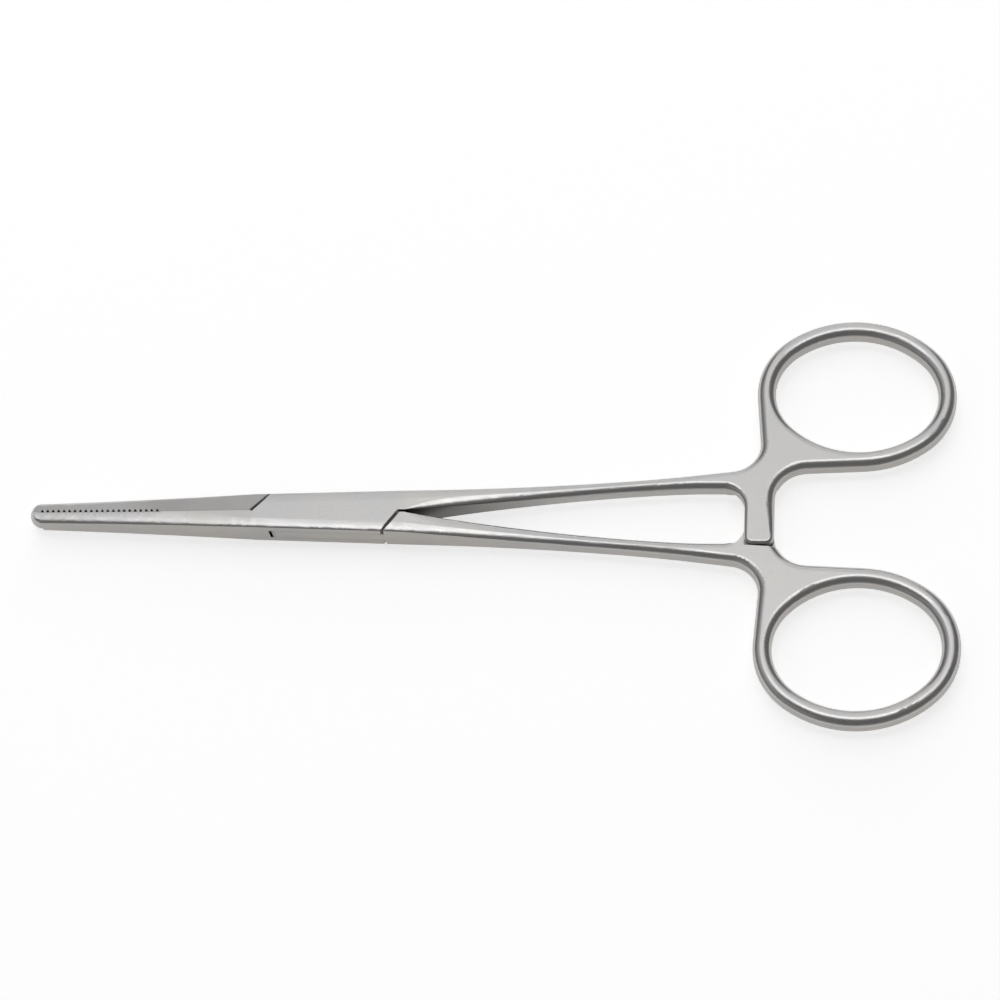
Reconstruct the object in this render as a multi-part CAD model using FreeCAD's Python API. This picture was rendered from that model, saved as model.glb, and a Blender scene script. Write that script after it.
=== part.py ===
import FreeCAD, Part
import math
import os

# Box-lock haemostatic forceps, straight, jaws serrated over their front half.
# Millimetres. Origin: pivot axis on the flat back face of the box.
# +X toward the finger rings, -X toward the tips, +Z through the thickness.
# The instrument is drawn closed, on the last tooth of its ratchet.

# Overall
TIP_REACH = 46.0
RING_REACH = 93.8
BOX_THICKNESS = 4.8
MID_Z = BOX_THICKNESS / 2

# Jaws and box: width and thickness taper in straight lines
HALF_WIDTH_AT_PIVOT = 3.1
WIDTH_TAPER = 0.029
JAW_HOLLOW = 0.12
TIP_THICKNESS = 3.0
TIP_BALL_RADIUS = 1.9

# Elliptical corners: rolled along the box, and crowned right across on the jaws
BOX_CORNER_WIDTH = 1.5
BOX_CORNER_DROP = 0.26
JAW_CORNER_SHARE = 0.9
JAW_CROWN_START = 0.3
TIP_CORNER_DROP = 0.42
JAW_STATIONS = 8
BOX_FRONT_X = -11.0

# The upper jaw slopes away from the parting line to a rounder outer edge,
# and stands a little proud of the box at its root
UPPER_JAW_SLOPE = 9.0
UPPER_ROOT_DROP = 0.65
UPPER_TIP_DROP = 1.35
UPPER_JAW_SWELL = 0.2
CROTCH_X = 12.2
CROTCH_HALF_GAP = 0.2

# Serrations across the front half of the jaws
SERRATION_START = 1.5
SERRATION_PITCH = 0.86
SERRATION_COUNT = 22
SERRATION_DEPTH = 0.75
SERRATION_RISE = 0.3
SERRATION_RELIEF = 0.5
JAW_GAP = 0.03

# Box lock: shoulders slant across the box just inside its two ends
SHOULDER_FRONT_OFFSET = 0.35
SHOULDER_FRONT_X = BOX_FRONT_X - SHOULDER_FRONT_OFFSET
SHOULDER_FRONT_ANGLE = 47.0
SHOULDER_REAR_OFFSET = 1.0
SHOULDER_REAR_X = CROTCH_X - SHOULDER_REAR_OFFSET
SHOULDER_REAR_ANGLE = 55.0
SHOULDER_GAP = 0.26
SHOULDER_BEVEL = 0.15
WEB_ANGLE = -47.0
WEB_GAP = 0.42
TONGUE_THICKNESS = 2.0
TONGUE_GAP = 0.04

# Pivot pin, ground flush with both cheeks
PIN_RADIUS = 1.1
PIN_RUNNING_GAP = 0.04

# Finger rings: ovals of four tangent arcs, sizes along the middle of the band
RING_BAND = 2.7
RING_HALF_LENGTH = 13.47
RING_HALF_WIDTH = 11.17
RING_END_RADIUS = 9.8
RING_TILT = -4.3
RING_X = RING_REACH - RING_HALF_LENGTH - RING_BAND / 2

# Handles, set out forward from the middle of the rings
HANDLE_THICKNESS = 3.15
HANDLE_EDGE_ROUNDING = 1.1
RING_EDGE_ROUNDING = 1.28
HANDLE_INNER_Y = 4.42
HANDLE_WIDTH = 2.48
HANDLE_OUTER_Y = HANDLE_INNER_Y + HANDLE_WIDTH
HANDLE_OUTER_SLOPE = 7.0
NECK_TO_RING = 13.88
NECK_X = RING_X - NECK_TO_RING
OUTER_FLARE = 4.7
RING_RISE = 1.28
RING_Y = HANDLE_OUTER_Y + RING_RISE + RING_BAND / 2 + RING_HALF_WIDTH

# Ratchet arms
ARM_WIDTH = 4.35
ARM_TO_RING = 12.03
ARM_RIGHT_X = RING_X - ARM_TO_RING
ARM_LEFT_X = ARM_RIGHT_X - ARM_WIDTH
ARM_INNER_FLARE = 3.2
ARM_OUTER_FLARE = 5.0
ARM_ROOT_RISE = 0.7
ARM_ROOT_Y = HANDLE_OUTER_Y + ARM_ROOT_RISE
ARM_END_Y = -4.75
ARM_END_ROUNDING = 1.3
ARM_EDGE_ROUNDING = 0.6
ARM_FACE_GAP = 0.1
ARM_STEP_RISE = 0.53
ARM_STEP_Y = HANDLE_INNER_Y + ARM_STEP_RISE
ARM_STEP_SLANT = 0.5
TOOTH_COUNT = 3
TOOTH_PITCH = 1.3
TOOTH_HEIGHT = 0.5

# Shanks: narrowest and thinnest at the waist, a share of the way to the handle
HANDLE_TO_ARM = 6.6
HANDLE_X = ARM_LEFT_X - HANDLE_TO_ARM
WAIST_SHARE = 0.715
WAIST_WIDTH = 1.9
WAIST_THICKNESS = 2.95
SHANK_BOW = 0.12
SHANK_STATIONS = 7
CROTCH_INNER_ROUNDING = 0.05
LARGEST_CORNER_SHARE = 0.47

# Past every surface that a cutting tool has to clear
OVERSHOOT = 8.0

# Two plan points nearer than this are the same
SAME_SPOT = 1e-4


def arch(share):
    """Parabola over a span: nothing at both ends and one in the middle."""
    return 4 * share * (1 - share)


def smooth(share):
    """Share that starts and ends gently, held between nothing and one."""
    held = min(1.0, max(0.0, share))
    return held * held * (1 + 2 * (1 - held))


def jaw_share(x):
    """Share of the way along the jaws, from the box at 0 to the tip at 1."""
    return (BOX_FRONT_X - x) / (BOX_FRONT_X + TIP_REACH)


def half_width(x):
    """Half width of the closed jaws and box at x, slightly hollow along the jaws."""
    straight = HALF_WIDTH_AT_PIVOT + WIDTH_TAPER * x
    return straight - JAW_HOLLOW * arch(max(0.0, jaw_share(x)))


def jaw_thickness(share):
    """Thickness of the jaws a share of the way along them."""
    return BOX_THICKNESS + share * (TIP_THICKNESS - BOX_THICKNESS)


def polar(point, angle, distance):
    """Point at a distance and an angle in degrees from another one."""
    turn = math.radians(angle)
    return (point[0] + distance * math.cos(turn), point[1] + distance * math.sin(turn))


def prism(points, bottom, top):
    """Upright prism over a closed outline of plan points."""
    corners = [FreeCAD.Vector(x, y, bottom) for x, y in points]
    face = Part.Face(Part.makePolygon(corners + corners[:1]))
    return face.extrude(FreeCAD.Vector(0, 0, top - bottom))


def full_prism(points):
    """Prism that reaches past both faces of the instrument."""
    return prism(points, -OVERSHOOT, BOX_THICKNESS + OVERSHOOT)


def turned_over(shape):
    """The same shape turned half round the long axis of the instrument."""
    copy = shape.copy()
    copy.rotate(FreeCAD.Vector(0, 0, MID_Z), FreeCAD.Vector(1, 0, 0), 180)
    return copy


def rounded_section(x, y_low, y_high, thickness, low_corner, high_corner):
    """Wire of a rectangle across the long axis, with elliptical corners.

    Each corner is its width along y and its drop along z.
    """
    half = thickness / 2
    corners = [
        (y_low, -half, 1, 1, low_corner),
        (y_high, -half, -1, 1, high_corner),
        (y_high, half, -1, -1, high_corner),
        (y_low, half, 1, -1, low_corner),
    ]
    arcs = []
    for index, (y, z, inward_y, inward_z, (width, drop)) in enumerate(corners):
        corner = FreeCAD.Vector(x, y, MID_Z + z)
        on_face = corner + FreeCAD.Vector(0, inward_y * width, 0)
        on_side = corner + FreeCAD.Vector(0, 0, inward_z * drop)
        ends = (on_side, on_face) if index % 2 == 0 else (on_face, on_side)
        arcs.append((ends[0], corner, ends[1]))
    edges = []
    for index, poles in enumerate(arcs):
        quarter = Part.BezierCurve()
        quarter.setPoles(list(poles))
        quarter.setWeight(2, math.sqrt(0.5))
        edges.append(quarter.toShape())
        following = arcs[(index + 1) % len(arcs)][0]
        edges.append(Part.LineSegment(poles[2], following).toShape())
    return Part.Wire(edges)


def crowned_corner(share, edge):
    """Corner of the box and the lower jaw, crowned further across toward the tip."""
    crown = JAW_CORNER_SHARE * edge - BOX_CORNER_WIDTH
    width = BOX_CORNER_WIDTH + smooth(share / JAW_CROWN_START) * crown
    return (width, BOX_CORNER_DROP + share * (TIP_CORNER_DROP - BOX_CORNER_DROP))


def round_corner(share, edge):
    """Corner of the upper jaw, which drops further toward the tip."""
    drop = UPPER_ROOT_DROP + share * (UPPER_TIP_DROP - UPPER_ROOT_DROP)
    return (JAW_CORNER_SHARE * edge, drop)


def front_section(x, share, corner_at, swell):
    """Section of the closed jaws or box at x, with the corner and swell for its share."""
    edge = half_width(x) + (1 - share) * swell
    corner = corner_at(share, edge)
    return rounded_section(x, -edge, edge, jaw_thickness(share), corner, corner)


def closed_front(corner_at, swell):
    """Jaws and box in one solid, before they are parted."""
    wires = []
    for index in range(JAW_STATIONS):
        share = index / (JAW_STATIONS - 1)
        x = BOX_FRONT_X - share * (BOX_FRONT_X + TIP_REACH)
        wires.append(front_section(x, share, corner_at, swell))
    jaws = Part.makeLoft(wires, True, False)
    box_end = front_section(CROTCH_X, 0, corner_at, swell)
    body = jaws.fuse(Part.makeLoft([wires[0], box_end], True, True))
    ball = Part.makeSphere(TIP_BALL_RADIUS)
    ball_x = TIP_BALL_RADIUS - TIP_REACH
    ball.translate(FreeCAD.Vector(ball_x, 0, MID_Z))
    behind = full_prism([
        (ball_x, -OVERSHOOT),
        (CROTCH_X + OVERSHOOT, -OVERSHOOT),
        (CROTCH_X + OVERSHOOT, OVERSHOOT),
        (ball_x, OVERSHOOT),
    ])
    return body.common(ball.fuse(behind))


def parting_line(offset, relief):
    """Plan points of the jaw faces, tip to shoulder, with the serrations.

    The relief takes the crests of the lower jaw down, clear of the upper one's notches.
    """
    first = -TIP_REACH + SERRATION_START
    low = offset - SERRATION_DEPTH / 2
    crest = offset + SERRATION_DEPTH / 2 - relief
    rise = SERRATION_RISE * SERRATION_PITCH
    fall = SERRATION_PITCH - rise
    spared = relief / SERRATION_DEPTH
    points = [(-TIP_REACH - OVERSHOOT, offset), (first, offset)]
    for index in range(SERRATION_COUNT):
        root = first + fall / 2 + index * SERRATION_PITCH
        points.append((root, low))
        points.append((root + rise * (1 - spared), crest))
        if relief:
            points.append((root + rise + fall * spared, crest))
    last = first + SERRATION_COUNT * SERRATION_PITCH + fall / 2
    points += [(last, low), (last + rise / 2, offset)]
    return points


def upper_jaw_slopes():
    """Wedges that take both faces of the upper jaw down away from the parting line."""
    fall = OVERSHOOT * math.tan(math.radians(UPPER_JAW_SLOPE))
    tip_x = -TIP_REACH - OVERSHOOT
    root_x = BOX_FRONT_X + OVERSHOOT
    grow = (jaw_thickness(jaw_share(root_x)) - jaw_thickness(jaw_share(tip_x))) / 2
    wedges = []
    for side in (1, -1):
        ridge = MID_Z + side * jaw_thickness(jaw_share(tip_x)) / 2
        clear = ridge + side * OVERSHOOT
        corners = [
            FreeCAD.Vector(tip_x, 0, ridge),
            FreeCAD.Vector(tip_x, OVERSHOOT, ridge - side * fall),
            FreeCAD.Vector(tip_x, OVERSHOOT, clear),
            FreeCAD.Vector(tip_x, 0, clear),
        ]
        wedge = Part.Face(Part.makePolygon(corners + corners[:1]))
        wedges.append(wedge.extrude(FreeCAD.Vector(root_x - tip_x, 0, side * grow)))
    return wedges


def lock_points():
    """Where shoulders and webs start: box front, box rear, tongue front, tongue rear."""
    gap = SHOULDER_GAP / 2
    return (
        (SHOULDER_FRONT_X + gap, -JAW_GAP / 2),
        (SHOULDER_REAR_X - gap, CROTCH_HALF_GAP),
        (SHOULDER_FRONT_X - gap, JAW_GAP / 2),
        (SHOULDER_REAR_X + gap, -CROTCH_HALF_GAP),
    )


def box_plan():
    """Plan outline of the box half from its jaw to the crotch."""
    front, rear, _, _ = lock_points()
    front_top = polar(front, SHOULDER_FRONT_ANGLE, OVERSHOOT)
    rear_bottom = polar(rear, SHOULDER_REAR_ANGLE, -OVERSHOOT)
    points = parting_line(-JAW_GAP / 2, SERRATION_RELIEF)
    points += [front, front_top, (CROTCH_X, front_top[1]), (CROTCH_X, CROTCH_HALF_GAP)]
    points += [rear, rear_bottom, (-TIP_REACH - OVERSHOOT, rear_bottom[1])]
    return points


def tongue_jaw_plan():
    """Plan outline of the upper jaw up to its shoulder."""
    root = lock_points()[2]
    top = polar(root, SHOULDER_FRONT_ANGLE, OVERSHOOT)
    return parting_line(JAW_GAP / 2, 0) + [root, top, (-TIP_REACH - OVERSHOOT, top[1])]


def tongue_shank_plan():
    """Plan outline of the root of the lower shank behind its shoulder."""
    root = lock_points()[3]
    bottom = polar(root, SHOULDER_REAR_ANGLE, -OVERSHOOT)
    return [root, (CROTCH_X, -CROTCH_HALF_GAP), (CROTCH_X, bottom[1]), bottom]


def lock_plan(front_web, rear_web):
    """Plan outline between the two webs, for the tongue or for its slot."""
    _, _, front_root, rear_root = lock_points()
    return [
        front_web,
        front_root,
        polar(front_root, SHOULDER_FRONT_ANGLE, OVERSHOOT),
        polar(rear_web, WEB_ANGLE, -OVERSHOOT),
        rear_web,
        rear_root,
        polar(rear_root, SHOULDER_REAR_ANGLE, -OVERSHOOT),
        polar(front_web, WEB_ANGLE, OVERSHOOT),
    ]


def tongue_slab(front_web, rear_web, thickness):
    """Middle layer of the lock, for the tongue or for its slot."""
    plan = lock_plan(front_web, rear_web)
    return prism(plan, MID_Z - thickness / 2, MID_Z + thickness / 2)


def shoulder_bevels(root_x, angle, side, slope):
    """V grooves along one shoulder line, on both faces, which fall with the jaw's slope."""
    half = SHOULDER_GAP / 2 + SHOULDER_BEVEL
    start = (root_x, 0)
    end = polar(start, angle, side * OVERSHOOT)
    fall = abs(end[1]) * math.tan(math.radians(slope))
    across = polar((0, 0), angle + 90, 2 * half)
    grooves = []
    for face, inward in ((BOX_THICKNESS, -1), (0, 1)):
        outside = face - inward * half
        corners = [
            FreeCAD.Vector(start[0] + across[0], start[1] + across[1], outside),
            FreeCAD.Vector(start[0] - across[0], start[1] - across[1], outside),
            FreeCAD.Vector(start[0], start[1], face + inward * half),
        ]
        wedge = Part.Face(Part.makePolygon(corners + corners[:1]))
        along = FreeCAD.Vector(end[0] - start[0], end[1] - start[1], inward * fall)
        grooves.append(wedge.extrude(along))
    return grooves


def cylinder(radius, bottom, top):
    """Upright cylinder on the pivot axis."""
    return Part.makeCylinder(radius, top - bottom, FreeCAD.Vector(0, 0, bottom))


def shank_corner(share, width, end_width):
    """Corner of the shank's section, from the box at 0 to the handle at 1."""
    wanted = BOX_CORNER_WIDTH + share * (end_width - BOX_CORNER_WIDTH)
    drop = BOX_CORNER_DROP + share * (HANDLE_EDGE_ROUNDING - BOX_CORNER_DROP)
    return (min(wanted, LARGEST_CORNER_SHARE * width), drop)


def shank():
    """Upper shank from the crotch to the handle."""
    crotch_outer = half_width(CROTCH_X)
    crotch_mid = (crotch_outer + CROTCH_HALF_GAP) / 2
    crotch_width = crotch_outer - CROTCH_HALF_GAP
    handle_mid = (HANDLE_OUTER_Y + HANDLE_INNER_Y) / 2
    slant = math.cos(math.radians(HANDLE_OUTER_SLOPE))
    wires = []
    for index in range(SHANK_STATIONS):
        share = index / (SHANK_STATIONS - 1)
        at_front = share < WAIST_SHARE
        end_share = 0 if at_front else 1
        end_width = crotch_width if at_front else HANDLE_WIDTH
        end_thickness = BOX_THICKNESS if at_front else HANDLE_THICKNESS
        grow = ((share - WAIST_SHARE) / (end_share - WAIST_SHARE)) ** 2
        width = WAIST_WIDTH + grow * (end_width - WAIST_WIDTH)
        thickness = WAIST_THICKNESS + grow * (end_thickness - WAIST_THICKNESS)
        middle = crotch_mid + share * (handle_mid - crotch_mid) + SHANK_BOW * arch(share)
        inner = shank_corner(share, width, HANDLE_EDGE_ROUNDING)
        if index == 0:
            inner = (CROTCH_INNER_ROUNDING, CROTCH_INNER_ROUNDING)
        outer = shank_corner(share, width, HANDLE_EDGE_ROUNDING / slant)
        x = CROTCH_X + share * (HANDLE_X - CROTCH_X)
        low = middle - width / 2
        wires.append(rounded_section(x, low, low + width, thickness, inner, outer))
    return Part.makeLoft(wires, True, False)


def ring_point(x, y):
    """Plan point given along the ring's own axes."""
    turn = math.radians(RING_TILT)
    return (
        RING_X + x * math.cos(turn) - y * math.sin(turn),
        RING_Y + x * math.sin(turn) + y * math.cos(turn),
    )


def side_radius():
    """Radius of the flatter arcs of the ring's centreline."""
    spread = RING_HALF_LENGTH ** 2 + RING_HALF_WIDTH ** 2
    ends = 2 * RING_HALF_LENGTH * RING_END_RADIUS
    return (spread - ends) / (2 * (RING_HALF_WIDTH - RING_END_RADIUS))


def oval_prism(offset, bottom, top):
    """Prism over the ring's oval, offset outward from its centreline."""
    end_x = RING_HALF_LENGTH - RING_END_RADIUS
    side_y = side_radius() - RING_HALF_WIDTH
    reach = math.hypot(end_x, side_y)
    radius = RING_END_RADIUS + offset
    joint = (end_x + radius * end_x / reach, radius * side_y / reach)
    tips = [(RING_HALF_LENGTH + offset, 0), (0, RING_HALF_WIDTH + offset)]
    ring = [
        (joint[0], -joint[1]), tips[0], joint,
        tips[1], (-joint[0], joint[1]),
        (-tips[0][0], 0), (-joint[0], -joint[1]),
        (0, -tips[1][1]), (joint[0], -joint[1]),
    ]
    spots = [FreeCAD.Vector(*ring_point(x, y), bottom) for x, y in ring]
    arcs = [Part.Arc(*spots[start:start + 3]).toShape() for start in range(0, 8, 2)]
    return Part.Face(Part.Wire(arcs)).extrude(FreeCAD.Vector(0, 0, top - bottom))


def tangent_point(point, centre, radius, side):
    """Where a line from a point touches a circle, on the chosen side."""
    away = math.hypot(point[0] - centre[0], point[1] - centre[1])
    bearing = math.degrees(math.atan2(point[1] - centre[1], point[0] - centre[0]))
    return polar(centre, bearing + side * math.degrees(math.acos(radius / away)), radius)


def neck_spot():
    """Plan point where the handle's sloping outer edge meets the web of the ring."""
    rise = math.tan(math.radians(HANDLE_OUTER_SLOPE)) * (NECK_X - HANDLE_X)
    return (NECK_X, HANDLE_OUTER_Y + rise)


def handle_blank():
    """Ring, web and ratchet arm as one flat plate with flared corners."""
    bottom = MID_Z - HANDLE_THICKNESS / 2
    top = MID_Z + HANDLE_THICKNESS / 2
    neck = neck_spot()
    hook = (ARM_RIGHT_X, ARM_ROOT_Y)
    band = RING_BAND / 2
    end_centre = ring_point(RING_END_RADIUS - RING_HALF_LENGTH, 0)
    side_centre = ring_point(0, side_radius() - RING_HALF_WIDTH)
    outline = [
        (HANDLE_X, HANDLE_INNER_Y),
        (HANDLE_X, HANDLE_OUTER_Y),
        neck,
        tangent_point(neck, end_centre, RING_END_RADIUS + band, -1),
        ring_point(0, 0),
        tangent_point(hook, side_centre, side_radius() + band, 1),
        hook,
        (ARM_RIGHT_X, ARM_END_Y),
        (ARM_LEFT_X, ARM_END_Y),
        (ARM_LEFT_X, HANDLE_INNER_Y),
    ]
    plate = prism(outline, bottom, top).fuse(oval_prism(band, bottom, top))
    plate = plate.removeSplitter()
    plate = plate.cut(oval_prism(-band, bottom, top))
    corners = (
        (neck, OUTER_FLARE),
        (hook, ARM_OUTER_FLARE),
        ((ARM_LEFT_X, HANDLE_INNER_Y), ARM_INNER_FLARE),
        ((ARM_LEFT_X, ARM_END_Y), ARM_END_ROUNDING),
        ((ARM_RIGHT_X, ARM_END_Y), ARM_END_ROUNDING),
    )
    for spot, radius in corners:
        plate = plate.makeFillet(radius, upright_edges(plate, spot))
    return plate


def upright_edges(shape, spot):
    """Edges of a prism that stand on one plan point."""
    found = []
    for edge in shape.Edges:
        away = [math.hypot(v.X - spot[0], v.Y - spot[1]) for v in edge.Vertexes]
        if max(away) < SAME_SPOT:
            found.append(edge)
    return found


def edge_rounding(point):
    """Rounding of the handle's long edges: nearly full on the ring, crisper on the arm."""
    neck = neck_spot()
    past_handle = point.x > ARM_LEFT_X - ARM_END_ROUNDING
    below_root = point.y < ARM_ROOT_Y - ARM_OUTER_FLARE + ARM_END_ROUNDING
    if past_handle and below_root:
        return ARM_EDGE_ROUNDING
    on_ring = point.x > neck[0] or point.y > neck[1]
    return RING_EDGE_ROUNDING if on_ring else HANDLE_EDGE_ROUNDING


def soften_handle(plate):
    """Round both outlines of the plate with a radius that changes along the flares."""
    document = FreeCAD.newDocument("handle")
    base = document.addObject("Part::Feature", "plate")
    base.Shape = plate
    rounded = document.addObject("Part::Fillet", "rounded")
    rounded.Base = base
    chosen = []
    for number, edge in enumerate(plate.Edges, 1):
        box = edge.BoundBox
        if box.ZLength < SAME_SPOT and box.XMax > HANDLE_X + SAME_SPOT:
            first = edge.valueAt(edge.FirstParameter)
            last = edge.valueAt(edge.LastParameter)
            chosen.append((number, edge_rounding(first), edge_rounding(last)))
    rounded.Edges = chosen
    document.recompute()
    shape = rounded.Shape.copy()
    FreeCAD.closeDocument(document.Name)
    return shape


def arm_clearance():
    """Block that takes the arm down to its own half of the thickness."""
    left = ARM_LEFT_X - ARM_INNER_FLARE
    right = ARM_RIGHT_X + ARM_INNER_FLARE
    low = ARM_END_Y - OVERSHOOT
    plan = [
        (left, low),
        (right, low),
        (right, ARM_STEP_Y + ARM_STEP_SLANT),
        (ARM_LEFT_X, ARM_STEP_Y),
        (left, HANDLE_INNER_Y),
    ]
    return prism(plan, MID_Z - OVERSHOOT, MID_Z + ARM_FACE_GAP / 2)


def arm_notches():
    """Saw notches between the ratchet teeth, and the lead-in at the arm's end."""
    face = MID_Z + ARM_FACE_GAP / 2
    first = -TOOTH_COUNT * TOOTH_PITCH / 2
    outlines = [((first, face), (ARM_END_Y, face), (ARM_END_Y, face + TOOTH_HEIGHT))]
    for index in range(TOOTH_COUNT):
        start = first + index * TOOTH_PITCH
        outlines.append(((start, face), (start + TOOTH_PITCH, face), (start, face + TOOTH_HEIGHT)))
    left = ARM_LEFT_X - ARM_INNER_FLARE
    notches = []
    for outline in outlines:
        corners = [FreeCAD.Vector(left, y, z) for y, z in outline]
        wedge = Part.Face(Part.makePolygon(corners + corners[:1]))
        notches.append(wedge.extrude(FreeCAD.Vector(ARM_RIGHT_X - left + ARM_INNER_FLARE, 0, 0)))
    return notches


def handle():
    """Upper handle: finger ring, web and the front ratchet arm."""
    shape = soften_handle(handle_blank()).cut(arm_clearance())
    return shape.cut(arm_notches())


def joined(pieces):
    """One solid from touching pieces of the same forging."""
    return pieces[0].fuse(pieces[1:]).removeSplitter().Solids[0]


def box_half(front, shank_shape, handle_shape):
    """Lower jaw, cheeks of the box, upper shank and upper ring."""
    body = front.common(full_prism(box_plan()))
    front_web, rear_web, _, _ = lock_points()
    body = body.cut(tongue_slab(front_web, rear_web, TONGUE_THICKNESS + 2 * TONGUE_GAP))
    body = joined([body, shank_shape, handle_shape])
    return body.cut(cylinder(PIN_RADIUS, -OVERSHOOT, BOX_THICKNESS + OVERSHOOT))


def tongue_half(front, upper_front, shank_shape, handle_shape):
    """Upper jaw, tongue through the box, lower shank and lower ring."""
    box_front, box_rear, _, _ = lock_points()
    front_web = (box_front[0] + WEB_GAP, JAW_GAP / 2)
    rear_web = (box_rear[0] - WEB_GAP, 0)
    tongue = front.common(tongue_slab(front_web, rear_web, TONGUE_THICKNESS))
    jaw = upper_front.common(full_prism(tongue_jaw_plan())).cut(upper_jaw_slopes())
    root = front.common(full_prism(tongue_shank_plan()))
    body = joined([jaw, tongue, root, turned_over(shank_shape), turned_over(handle_shape)])
    return body.cut(cylinder(PIN_RADIUS + PIN_RUNNING_GAP, -OVERSHOOT, BOX_THICKNESS + OVERSHOOT))


def bevelled_front(corner_at, slope, swell):
    """Closed front with both shoulder lines bevelled."""
    grooves = shoulder_bevels(SHOULDER_FRONT_X, SHOULDER_FRONT_ANGLE, 1, slope)
    grooves += shoulder_bevels(SHOULDER_REAR_X, SHOULDER_REAR_ANGLE, -1, 0)
    return closed_front(corner_at, swell).cut(grooves)


def main():
    """Build the three pieces and write them."""
    front = bevelled_front(crowned_corner, 0, 0)
    upper_front = bevelled_front(round_corner, UPPER_JAW_SLOPE, UPPER_JAW_SWELL)
    shank_shape = shank()
    handle_shape = handle()
    pieces = {
        "box_half": box_half(front, shank_shape, handle_shape),
        "tongue_half": tongue_half(front, upper_front, shank_shape, handle_shape),
        "pivot_pin": cylinder(PIN_RADIUS, 0, BOX_THICKNESS),
    }
    os.makedirs("parts", exist_ok=True)
    for name, shape in pieces.items():
        shape.exportStep("parts/" + name + ".step")


main()
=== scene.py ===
import logging
import math
from dataclasses import dataclass
from enum import Enum

import bpy
from mathutils import Matrix, Vector

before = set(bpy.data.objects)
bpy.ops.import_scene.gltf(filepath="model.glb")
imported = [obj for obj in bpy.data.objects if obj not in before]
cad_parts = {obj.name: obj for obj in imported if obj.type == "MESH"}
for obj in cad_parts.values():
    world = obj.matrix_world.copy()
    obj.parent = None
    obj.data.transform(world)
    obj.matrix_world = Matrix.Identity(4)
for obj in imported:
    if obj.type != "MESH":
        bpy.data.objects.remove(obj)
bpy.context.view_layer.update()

LOG = logging.getLogger("forceps")

Span = tuple[float, float]
Triple = tuple[float, float, float]
Socket = bpy.types.NodeSocket

NONE_TO_FULL: Span = (0.0, 1.0)
FULL_TO_NONE: Span = (1.0, 0.0)
WHITE: Triple = (1.0, 1.0, 1.0)
OPAQUE = 1.0


class Blend(Enum):
    """How one colour is laid over another."""

    MIX = "MIX"
    MULTIPLY = "MULTIPLY"


class Sum(Enum):
    """What a math node does with its numbers."""

    ABSOLUTE = "ABSOLUTE"
    ADD = "ADD"
    MAXIMUM = "MAXIMUM"
    MULTIPLY = "MULTIPLY"
    SIGN = "SIGN"
    SUBTRACT = "SUBTRACT"


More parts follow.
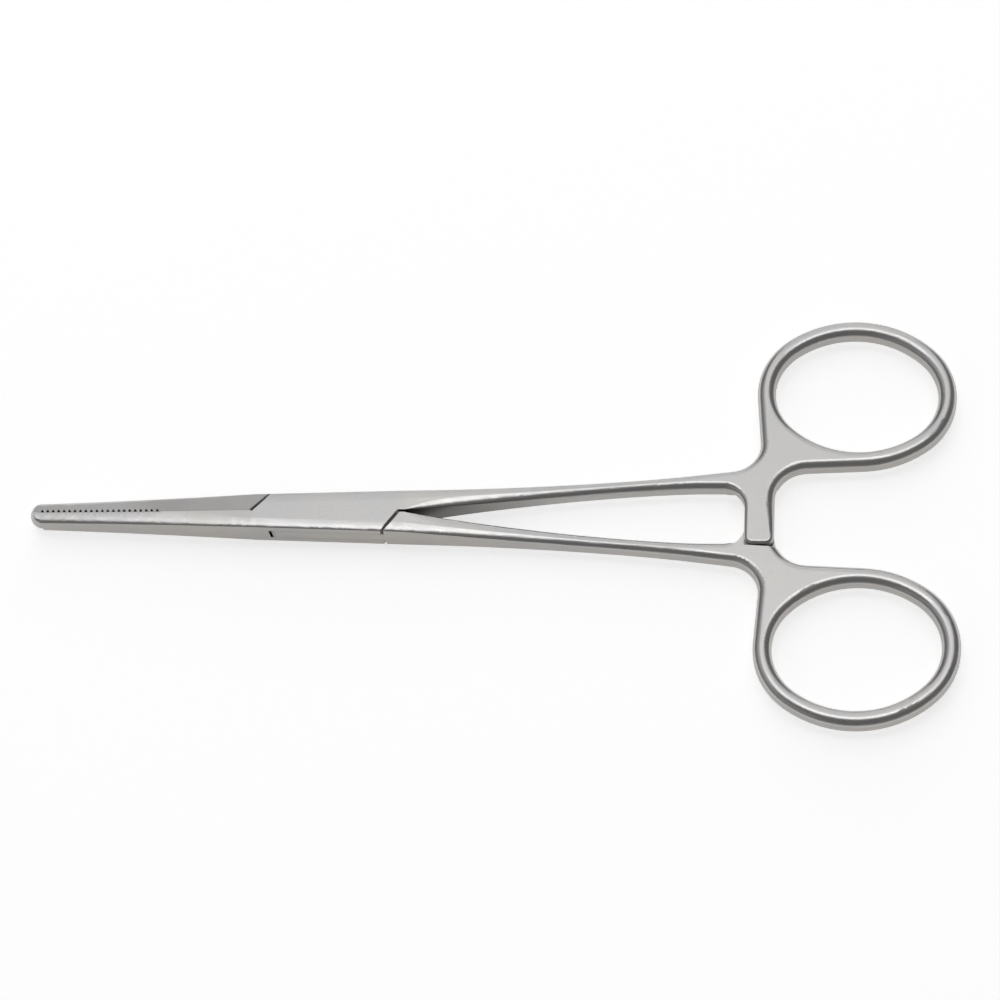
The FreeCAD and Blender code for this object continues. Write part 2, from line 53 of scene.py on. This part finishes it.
class NodeBench:
    """Short ways to add and link the nodes of one material."""

    def __init__(self, material: bpy.types.Material) -> None:
        """Take the node tree of a material.

        Args:
            material: The material that the nodes go into.
        """
        material.use_nodes = True
        self.tree = material.node_tree
        self.shader = self.tree.nodes["Principled BSDF"]

    def add(self, kind: str, inputs: dict | None = None, **settings: str) -> bpy.types.Node:
        """Add one node.

        Args:
            kind: The node's type name, without its common beginning.
            inputs: A value or a socket to link for each named or numbered input.
            **settings: Attributes of the node.

        Returns:
            The new node.
        """
        node = self.tree.nodes.new("ShaderNode" + kind)
        for name, value in settings.items():
            setattr(node, name, value)
        for name, value in (inputs or {}).items():
            self.feed(node.inputs[name], value)
        return node

    def feed(self, socket: Socket, value: Socket | float | tuple) -> None:
        """Link a socket to another one, or set its own value.

        Args:
            socket: The input that is fed.
            value: An output socket, a number or a tuple.
        """
        if isinstance(value, Socket):
            self.tree.links.new(value, socket)
        else:
            socket.default_value = value

    def set(self, name: str, value: Socket | float | tuple) -> None:
        """Feed one input of the shader.

        Args:
            name: The input's name.
            value: An output socket, a number or a tuple.
        """
        self.feed(self.shader.inputs[name], value)

    def sum(self, kind: Sum, first: Socket | float, second: Socket | float = 0.0) -> Socket:
        """Add a math node.

        Args:
            kind: What it does.
            first: First number or socket.
            second: Second number or socket.

        Returns:
            The result.
        """
        return self.add("Math", {0: first, 1: second}, operation=kind.value).outputs[0]

    def parts(self, vector: Socket) -> bpy.types.bpy_prop_collection:
        """Split a vector.

        Args:
            vector: What is split.

        Returns:
            Its parts, named X, Y and Z.
        """
        return self.add("SeparateXYZ", {0: vector}).outputs

    def spread(self, value: Socket, source: Span, target: Span) -> Socket:
        """Map a number from one range to another, with soft ends and clamped.

        Args:
            value: The number to map.
            source: Its low and high ends.
            target: What those ends become.

        Returns:
            The mapped number.
        """
        inputs = {
            "Value": value,
            "From Min": source[0],
            "From Max": source[1],
            "To Min": target[0],
            "To Max": target[1],
        }
        node = self.add("MapRange", inputs, interpolation_type="SMOOTHSTEP")
        return node.outputs["Result"]

    def noise(self, coordinates: Socket, scale: float, detail: float) -> Socket:
        """Add a noise pattern.

        Args:
            coordinates: Where it is read.
            scale: Patches per metre.
            detail: Finer layers on top of it.

        Returns:
            A number about one half.
        """
        inputs = {"Vector": coordinates, "Scale": scale, "Detail": detail}
        return self.add("TexNoise", inputs).outputs["Fac"]

    def stretched(self, coordinates: Socket, scale: Triple) -> Socket:
        """Stretch coordinates, for a grain that runs one way.

        Args:
            coordinates: What is stretched.
            scale: Scale along each axis.

        Returns:
            The stretched coordinates.
        """
        return self.add("Mapping", {"Vector": coordinates, "Scale": scale}).outputs[0]

    def mixed(
        self,
        share: Socket | float,
        first: Socket | Triple,
        second: Socket | Triple,
        blend: Blend = Blend.MIX,
    ) -> Socket:
        """Mix two colours.

        Args:
            share: How much of the second one shows.
            first: Colour or socket.
            second: Colour or socket.
            blend: How the second is laid over the first.

        Returns:
            The mixed colour.
        """
        node = self.add("Mix", data_type="RGBA", blend_type=blend.value)
        self.feed(node.inputs["Factor"], share)
        inputs = [socket for socket in node.inputs if socket.type == "RGBA"]
        for socket, colour in zip(inputs, (first, second)):
            self.feed(socket, (*colour, OPAQUE) if isinstance(colour, tuple) else colour)
        return next(socket for socket in node.outputs if socket.type == "RGBA")


@dataclass(frozen=True)
class Shade:
    """Painted shade: where the steel's colour is darkened to stand for shade, on the walls deep in
    the crotch and on the upper jaw.

    Places are metres along the instrument from the pivot, and the rings' end is positive.

    Attributes:
        crotch_painted_shade: Share of the colour left deepest in the crotch, as painted shade for
            the dark gap that the inner walls mirror.
        crotch_mouth: Where the shade of the crotch begins behind the box.
        crotch_reach: Where that shade is full, and where it has gone.
        inner_walls: How far a surface looks away from the middle line, from an inner
            wall with full shade to a rounded edge with none.
        jaw_painted_shade: Share of the colour left on the jaw, as painted shade for its tilted
            face.
        jaw_fade: Where the jaw starts to lose colour behind the tip, and where it has lost it.
        jaw_end: Where the jaw's tone ends at the box.
    """

    crotch_painted_shade: float = 0.3
    crotch_mouth: Span = (0.0105, 0.0115)
    crotch_reach: Span = (0.012, 0.040)
    inner_walls: Span = (-0.95, -0.55)
    jaw_painted_shade: float = 1.0
    jaw_fade: Span = (-0.034, -0.024)
    jaw_end: Span = (-0.0085, -0.0075)

    def left(self, bench: NodeBench, place: Socket, normal: Socket) -> Socket:
        """Work out the share of the colour that the painted shade leaves.

        Args:
            bench: The material's nodes.
            place: Object coordinates.
            normal: Surface normal in the instrument's own frame.

        Returns:
            One where the steel has its full colour.
        """
        spot = bench.parts(place)
        side = bench.sum(Sum.SIGN, spot["Y"])
        outward = bench.sum(Sum.MULTIPLY, side, bench.parts(normal)["Y"])
        inward = bench.spread(outward, self.inner_walls, FULL_TO_NONE)
        loss = bench.spread(spot["X"], self.crotch_reach, (1.0 - self.crotch_painted_shade, 0.0))
        behind = bench.spread(spot["X"], self.crotch_mouth, NONE_TO_FULL)
        # Painted shade deep in the crotch, on the walls that face the middle line.
        painted_crotch_shade = bench.sum(Sum.MULTIPLY, bench.sum(Sum.MULTIPLY, inward, loss), behind)
        # Painted shade on the jaw, from behind the tip to the box.
        jaw = bench.spread(spot["X"], self.jaw_fade, (1.0, self.jaw_painted_shade))
        past_jaw = bench.spread(spot["X"], self.jaw_end, NONE_TO_FULL)
        jaw = bench.sum(Sum.MAXIMUM, jaw, past_jaw)
        return bench.sum(Sum.MULTIPLY, bench.sum(Sum.SUBTRACT, 1.0, painted_crotch_shade), jaw)


@dataclass(frozen=True)
class Clouds:
    """Faint cool and warm clouds in the colour.

    Attributes:
        scale: Clouds per metre.
        detail: Finer layers on top of them.
        contrast: Noise levels of a fully cool and a fully warm cloud.
        cool: Tint of the one.
        warm: Tint of the other.
    """

    scale: float = 140.0
    detail: float = 3.0
    contrast: Span = (0.35, 0.65)
    cool: Triple = (0.965, 0.97, 0.985)
    warm: Triple = (1.0, 0.99, 0.975)

    def tint(self, bench: NodeBench, place: Socket) -> Socket:
        """Make the tint that goes over the colour.

        Args:
            bench: The material's nodes.
            place: Object coordinates.

        Returns:
            The tint.
        """
        cloud = bench.noise(place, self.scale, self.detail)
        warmth = bench.spread(cloud, self.contrast, NONE_TO_FULL)
        return bench.mixed(warmth, self.cool, self.warm)


@dataclass(frozen=True)
class Grinding:
    """Brush lines, patches and slight waves that hand grinding leaves.

    Attributes:
        lines: Brush lines per metre, across the instrument.
        line_detail: Finer layers on top of them.
        line_stretch: Scale of the lines along each axis.
        line_sheen: What the lines take from the roughness and add to it.
        line_strength: Share of the lines' height that is felt.
        line_height: Height of the lines in metres.
        patches: Duller and brighter patches per metre.
        patch_detail: Finer layers on top of them.
        patch_sheen: What the patches take from the roughness and add to it.
        contrast: Noise levels where lines and patches have their full effect.
        waves: Waves per metre.
        wave_detail: Finer layers on top of them.
        wave_stretch: Scale of the waves along each axis.
        wave_height: Height of the waves in metres.
    """

    lines: float = 6000.0
    line_detail: float = 2.0
    line_stretch: Triple = (0.05, 1.0, 1.0)
    line_sheen: Span = (-0.015, 0.015)
    line_strength: float = 0.05
    line_height: float = 4.0e-6
    patches: float = 320.0
    patch_detail: float = 3.0
    patch_sheen: Span = (-0.02, 0.02)
    contrast: Span = (0.3, 0.7)
    waves: float = 180.0
    wave_detail: float = 1.0
    wave_stretch: Triple = (0.6, 1.0, 1.0)
    wave_height: float = 8.0e-6

    def apply(self, bench: NodeBench, place: Socket, roughness: Socket) -> None:
        """Set the shader's roughness and its bumps.

        Args:
            bench: The material's nodes.
            place: Object coordinates.
            roughness: Roughness before grinding.
        """
        lines = bench.noise(bench.stretched(place, self.line_stretch), self.lines, self.line_detail)
        patches = bench.noise(place, self.patches, self.patch_detail)
        rough = bench.sum(Sum.ADD, roughness, bench.spread(lines, self.contrast, self.line_sheen))
        rough = bench.sum(Sum.ADD, rough, bench.spread(patches, self.contrast, self.patch_sheen))
        bench.set("Roughness", rough)
        waves = bench.noise(bench.stretched(place, self.wave_stretch), self.waves, self.wave_detail)
        waved = {"Height": waves, "Strength": 1.0, "Distance": self.wave_height}
        brushed = {
            "Height": lines,
            "Strength": self.line_strength,
            "Distance": self.line_height,
            "Normal": bench.add("Bump", waved).outputs[0],
        }
        bench.set("Normal", bench.add("Bump", brushed).outputs[0])


@dataclass(frozen=True)
class SatinSteel:
    """Satin stainless steel, duller on the upright sides than on the faces, and darker there by
    painted shade.

    Attributes:
        name: Name of the material.
        face: Colour of the faces that look up and down.
        side: Colour of the upright sides, darker and warmer than the faces as painted shade for the
            dim surroundings they mirror.
        face_roughness: Roughness of the faces.
        side_roughness: Roughness of the sides.
        rounding: Steepness at which a side has ended, and at which a face has begun,
            as the upward part of the normal.
        shade: Painted shade, where the steel's colour is darkened.
        clouds: Clouds in the colour.
        grinding: Marks of the grinding.
    """

    name: str
    face: Triple = (0.600, 0.592, 0.585)
    side: Triple = (0.405, 0.390, 0.372)
    face_roughness: float = 0.30
    side_roughness: float = 0.38
    rounding: Span = (0.15, 0.75)
    shade: Shade = Shade()
    clouds: Clouds = Clouds()
    grinding: Grinding = Grinding()

    def build(self) -> bpy.types.Material:
        """Make the material.

        Returns:
            The finished node material.
        """
        material = bpy.data.materials.new(self.name)
        bench = NodeBench(material)
        outputs = bench.add("TexCoord").outputs
        place, normal = outputs["Object"], outputs["Normal"]
        upward = bench.sum(Sum.ABSOLUTE, bench.parts(normal)["Z"])
        flatness = bench.spread(upward, self.rounding, NONE_TO_FULL)
        left = self.shade.left(bench, place, normal)
        # Painted shade: the upright sides get the darker, warmer side colour in place of the dim
        # surroundings they mirror.
        base = bench.mixed(flatness, self.side, self.face)
        tinted = bench.mixed(1.0, base, self.clouds.tint(bench, place), Blend.MULTIPLY)
        # Painted shade of the crotch and the jaw multiplies the colour.
        bench.set("Base Color", bench.mixed(1.0, tinted, left, Blend.MULTIPLY))
        rough = bench.spread(flatness, NONE_TO_FULL, (self.side_roughness, self.face_roughness))
        self.grinding.apply(bench, place, rough)
        bench.set("Metallic", 1.0)
        return material


@dataclass(frozen=True)
class SoftBox:
    """One rectangular lamp that faces the instrument.

    Attributes:
        name: Name of the lamp.
        rise: Angle of the lamp from the front horizon over the top, in degrees.
        along: Length in metres, up and over the instrument.
        glow: Brightness of its face, where 1 is white.
        across: Width in metres, along the instrument.
        swing: Angle of the lamp to the side, along the instrument, in degrees.
        distance: How far from the pivot it stands, in metres.
    """

    name: str
    rise: float
    along: float
    glow: float
    across: float = 1.6
    swing: float = 0.0
    distance: float = 2.0

    def build(self) -> None:
        """Make the lamp."""
        data = bpy.data.lights.new(self.name, "AREA")
        data.shape = "RECTANGLE"
        data.size = self.across
        data.size_y = self.along
        data.energy = self.glow * math.pi * self.across * self.along
        lamp = bpy.data.objects.new(self.name, data)
        bpy.context.scene.collection.objects.link(lamp)
        place = self.direction() * self.distance
        turn = (-place).to_track_quat("-Z", "Y").to_matrix().to_4x4()
        lamp.matrix_world = Matrix.Translation(place) @ turn

    def direction(self) -> Vector:
        """Tell which way the lamp lies.

        Returns:
            The direction from the pivot to the lamp.
        """
        rise, swing = math.radians(self.rise), math.radians(self.swing)
        level = math.cos(swing)
        return Vector((math.sin(swing), -level * math.cos(rise), level * math.sin(rise)))


@dataclass(frozen=True)
class Studio:
    """Pale floor, soft lamps and the white surroundings.

    Attributes:
        floor_size: Width of the square floor in metres.
        floor_colour: Its colour.
        floor_roughness: Its roughness.
        floor_shine: Its share of mirror light.
        floor_lift: Light that it adds where the camera or the steel sees it.
        world_glow: Light of the surroundings on the instrument.
        seen_world_glow: Light of the surroundings in the camera.
        lamps: The lamps.
    """

    floor_size: float = 6.0
    floor_colour: Triple = (0.86, 0.86, 0.86)
    floor_roughness: float = 0.9
    floor_shine: float = 0.1
    floor_lift: float = 0.60
    world_glow: float = 0.16
    seen_world_glow: float = 1.0
    lamps: tuple[SoftBox, ...] = (
        SoftBox("overhead_lamp", rise=97.5, along=0.58, glow=2.05),
        SoftBox("back_lamp", rise=127.0, along=1.66, glow=0.74),
        SoftBox("backdrop_lamp", rise=162.0, along=0.53, glow=1.16),
        SoftBox("side_lamp", rise=105.0, along=1.07, glow=0.31, swing=-42.0),
        SoftBox("low_side_lamp", rise=45.0, along=0.53, glow=0.25, swing=-42.0),
    )

    def build(self) -> None:
        """Build the floor, the world and the lamps."""
        self.build_floor()
        self.build_world()
        for lamp in self.lamps:
            lamp.build()

    def build_floor(self) -> None:
        """Build the plain pale floor under the instrument."""
        bpy.ops.object.select_all(action="DESELECT")
        bpy.ops.mesh.primitive_plane_add(size=self.floor_size, location=(0.0, 0.0, 0.0))
        floor = bpy.context.active_object
        floor.name = "studio_floor"
        material = bpy.data.materials.new("pale_floor")
        bench = NodeBench(material)
        bench.set("Base Color", (*self.floor_colour, OPAQUE))
        bench.set("Roughness", self.floor_roughness)
        bench.set("Specular IOR Level", self.floor_shine)
        bench.set("Emission Color", (*WHITE, OPAQUE))
        lift = bench.sum(Sum.MULTIPLY, self.seeing_rays(bench), self.floor_lift)
        bench.set("Emission Strength", lift)
        floor.data.materials.append(material)

    @staticmethod
    def seeing_rays(bench: NodeBench) -> Socket:
        """Tell the rays that see or mirror a thing from those that only light it.

        Args:
            bench: Nodes of the thing's material.

        Returns:
            One for rays of the camera, of gloss and of transmission.
        """
        path = bench.add("LightPath")
        seeing = path.outputs["Is Camera Ray"]
        for kind in ("Is Glossy Ray", "Is Transmission Ray"):
            seeing = bench.sum(Sum.MAXIMUM, seeing, path.outputs[kind])
        return seeing

    def build_world(self) -> None:
        """Set the even surroundings, white where the camera sees them."""
        world = bpy.data.worlds.new("studio_world")
        bpy.context.scene.world = world
        world.use_nodes = True
        tree = world.node_tree
        background = tree.nodes["Background"]
        background.inputs["Color"].default_value = (*WHITE, OPAQUE)
        path = tree.nodes.new("ShaderNodeLightPath")
        strength = tree.nodes.new("ShaderNodeMapRange")
        strength.inputs["To Min"].default_value = self.world_glow
        strength.inputs["To Max"].default_value = self.seen_world_glow
        tree.links.new(path.outputs["Is Camera Ray"], strength.inputs["Value"])
        tree.links.new(strength.outputs["Result"], background.inputs["Strength"])


@dataclass(frozen=True)
class ViewingCamera:
    """Camera at the photograph's place.

    Attributes:
        place: Where it stands, in metres.
        right: Direction of the picture's right.
        up: Direction of the picture's top.
        back: Direction from the instrument to the camera.
        lens: Focal length in millimetres.
        sensor: Sensor width in millimetres.
        nearest: Nearest distance that it sees, in metres.
    """

    place: Triple = (0.07808, -0.17637, 0.35448)
    right: Triple = (0.991431, 0.062085, -0.114934)
    up: Triple = (-0.003113, 0.890816, 0.454354)
    back: Triple = (0.130594, -0.450103, 0.883376)
    lens: float = 95.79
    sensor: float = 36.0
    nearest: float = 0.01

    def build(self) -> None:
        """Make the camera and use it."""
        data = bpy.data.cameras.new("view_camera")
        data.lens = self.lens
        data.sensor_width = self.sensor
        data.clip_start = self.nearest
        camera = bpy.data.objects.new("view_camera", data)
        bpy.context.scene.collection.objects.link(camera)
        turn = Matrix((self.right, self.up, self.back)).transposed().to_4x4()
        camera.matrix_world = Matrix.Translation(self.place) @ turn
        bpy.context.scene.camera = camera


FINISHES = {
    "box_half": SatinSteel("box_steel"),
    # The tongue half's jaw gets painted shade for its tilted face.
    "tongue_half": SatinSteel("tongue_steel", shade=Shade(jaw_painted_shade=0.8)),
    "pivot_pin": SatinSteel("pin_steel", face_roughness=0.28, grinding=Grinding(lines=9000.0)),
}


def main() -> None:
    """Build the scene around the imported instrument."""
    logging.basicConfig(level=logging.INFO, format="%(message)s")
    for name, finish in FINISHES.items():
        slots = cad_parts[name].data.materials
        slots.clear()
        slots.append(finish.build())
        LOG.info("%s dressed in %s", name, finish.name)
    Studio().build()
    ViewingCamera().build()
    bpy.context.scene.view_settings.view_transform = "Standard"


if __name__ == "__main__":
    main()
